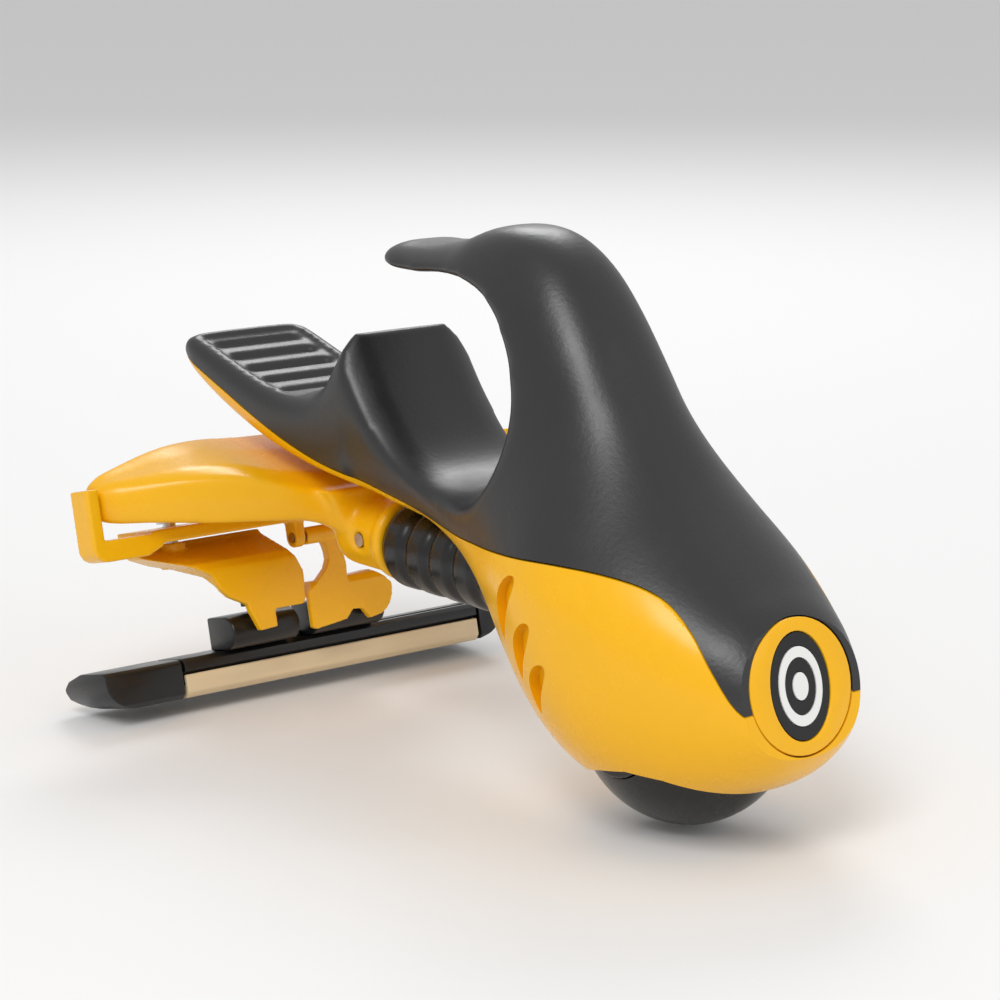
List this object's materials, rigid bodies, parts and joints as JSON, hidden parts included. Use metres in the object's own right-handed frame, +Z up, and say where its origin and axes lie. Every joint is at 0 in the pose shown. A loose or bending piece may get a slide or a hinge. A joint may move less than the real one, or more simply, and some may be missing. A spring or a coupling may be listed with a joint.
{
  "type": "finger-ring head razor",
  "caption": "Head-shaving razor with a finger ring grip, a rear roller and a sprung, rocking blade head under the finger rest.",
  "frame": {"origin": "middle of the footprint on the table, under the razor", "axes": "+X towards the blade head, +Y to the left of someone looking along +X, +Z up"},
  "size_m": [0.0758, 0.047, 0.0456],
  "materials": {
    "soft_black": "soft-touch rubber, satin",
    "yellow": "semi-gloss moulded plastic",
    "black_plastic": "semi-gloss",
    "black_rubber": "smooth, slightly shiny",
    "nylon": "matt",
    "steel": "ground",
    "brass": "turned",
    "beige": "waxy lubricating strip",
    "white": "printed inlay"
  },
  "bodies": {
    "handle": {"grip_shell": "soft_black", "hook_core": "nylon", "lower_shell": "yellow", "case_screw_1": "steel", "case_screw_2": "steel", "roller_axle": "steel", "axle_bush_left": "brass", "axle_bush_right": "brass", "badge_ring": "yellow", "badge_inlay": "black_plastic", "badge_band": "white", "badge_dot": "white", "neck_pin": "steel", "neck_spring": "steel"},
    "roller": {"roller_tyre": "black_rubber", "roller_core": "black_plastic"},
    "suspension": {"neck_arm": "nylon", "neck_boot": "black_rubber", "shield": "yellow", "collar_pin": "steel", "roll_pin": "steel"},
    "cradle": {"cradle_plate": "yellow", "jaw_block": "yellow", "jaw_screw": "steel", "pivot_plunger": "nylon", "plunger_spring": "steel", "latch_pin": "steel"},
    "latch": {"release_latch": "yellow"},
    "pivot": {"pivot_bar": "black_plastic"},
    "cartridge": {"cartridge_frame": "black_plastic", "end_cap_left": "black_plastic", "end_cap_right": "black_plastic", "lubricating_strip": "beige", "guard_strip": "black_rubber", "blade_1": "steel", "blade_2": "steel", "blade_3": "steel"}
  },
  "joints": [
    {"name": "roller_spin", "type": "hinge", "parent": "handle", "child": "roller", "pos_m": [-0.0241, 0, 0.009], "axis": [0, 1, 0], "continuous": true},
    {"name": "neck_pitch", "type": "hinge", "parent": "handle", "child": "suspension", "pos_m": [-0.0081, 0, 0.0162], "axis": [0, 1, 0], "range_deg": [-1.5, 4], "stiffness_Nm_per_rad": 0.5, "deforming": ["neck_spring"]},
    {"name": "cradle_roll", "type": "hinge", "parent": "suspension", "child": "cradle", "pos_m": [0.0304, 0, 0.01824], "axis": [0.9744, 0, -0.225], "range_deg": [-2.5, 2.5], "stiffness_Nm_per_rad": 0.05},
    {"name": "latch_release", "type": "hinge", "parent": "cradle", "child": "latch", "pos_m": [0.02642, 0, 0.01433], "axis": [0, 1, 0], "range_deg": [0, 12], "stiffness_Nm_per_rad": 0.0012},
    {"name": "blade_pitch", "type": "hinge", "parent": "cradle", "child": "pivot", "pos_m": [0.02763, 0, 0.00625], "axis": [0, 1, 0], "range_deg": [-15, 15], "stiffness_Nm_per_rad": 0.012},
    {"name": "cartridge_slide", "type": "slide", "parent": "pivot", "child": "cartridge", "axis": [0, 1, 0], "range_m": [0, 0.036]}
  ]
}
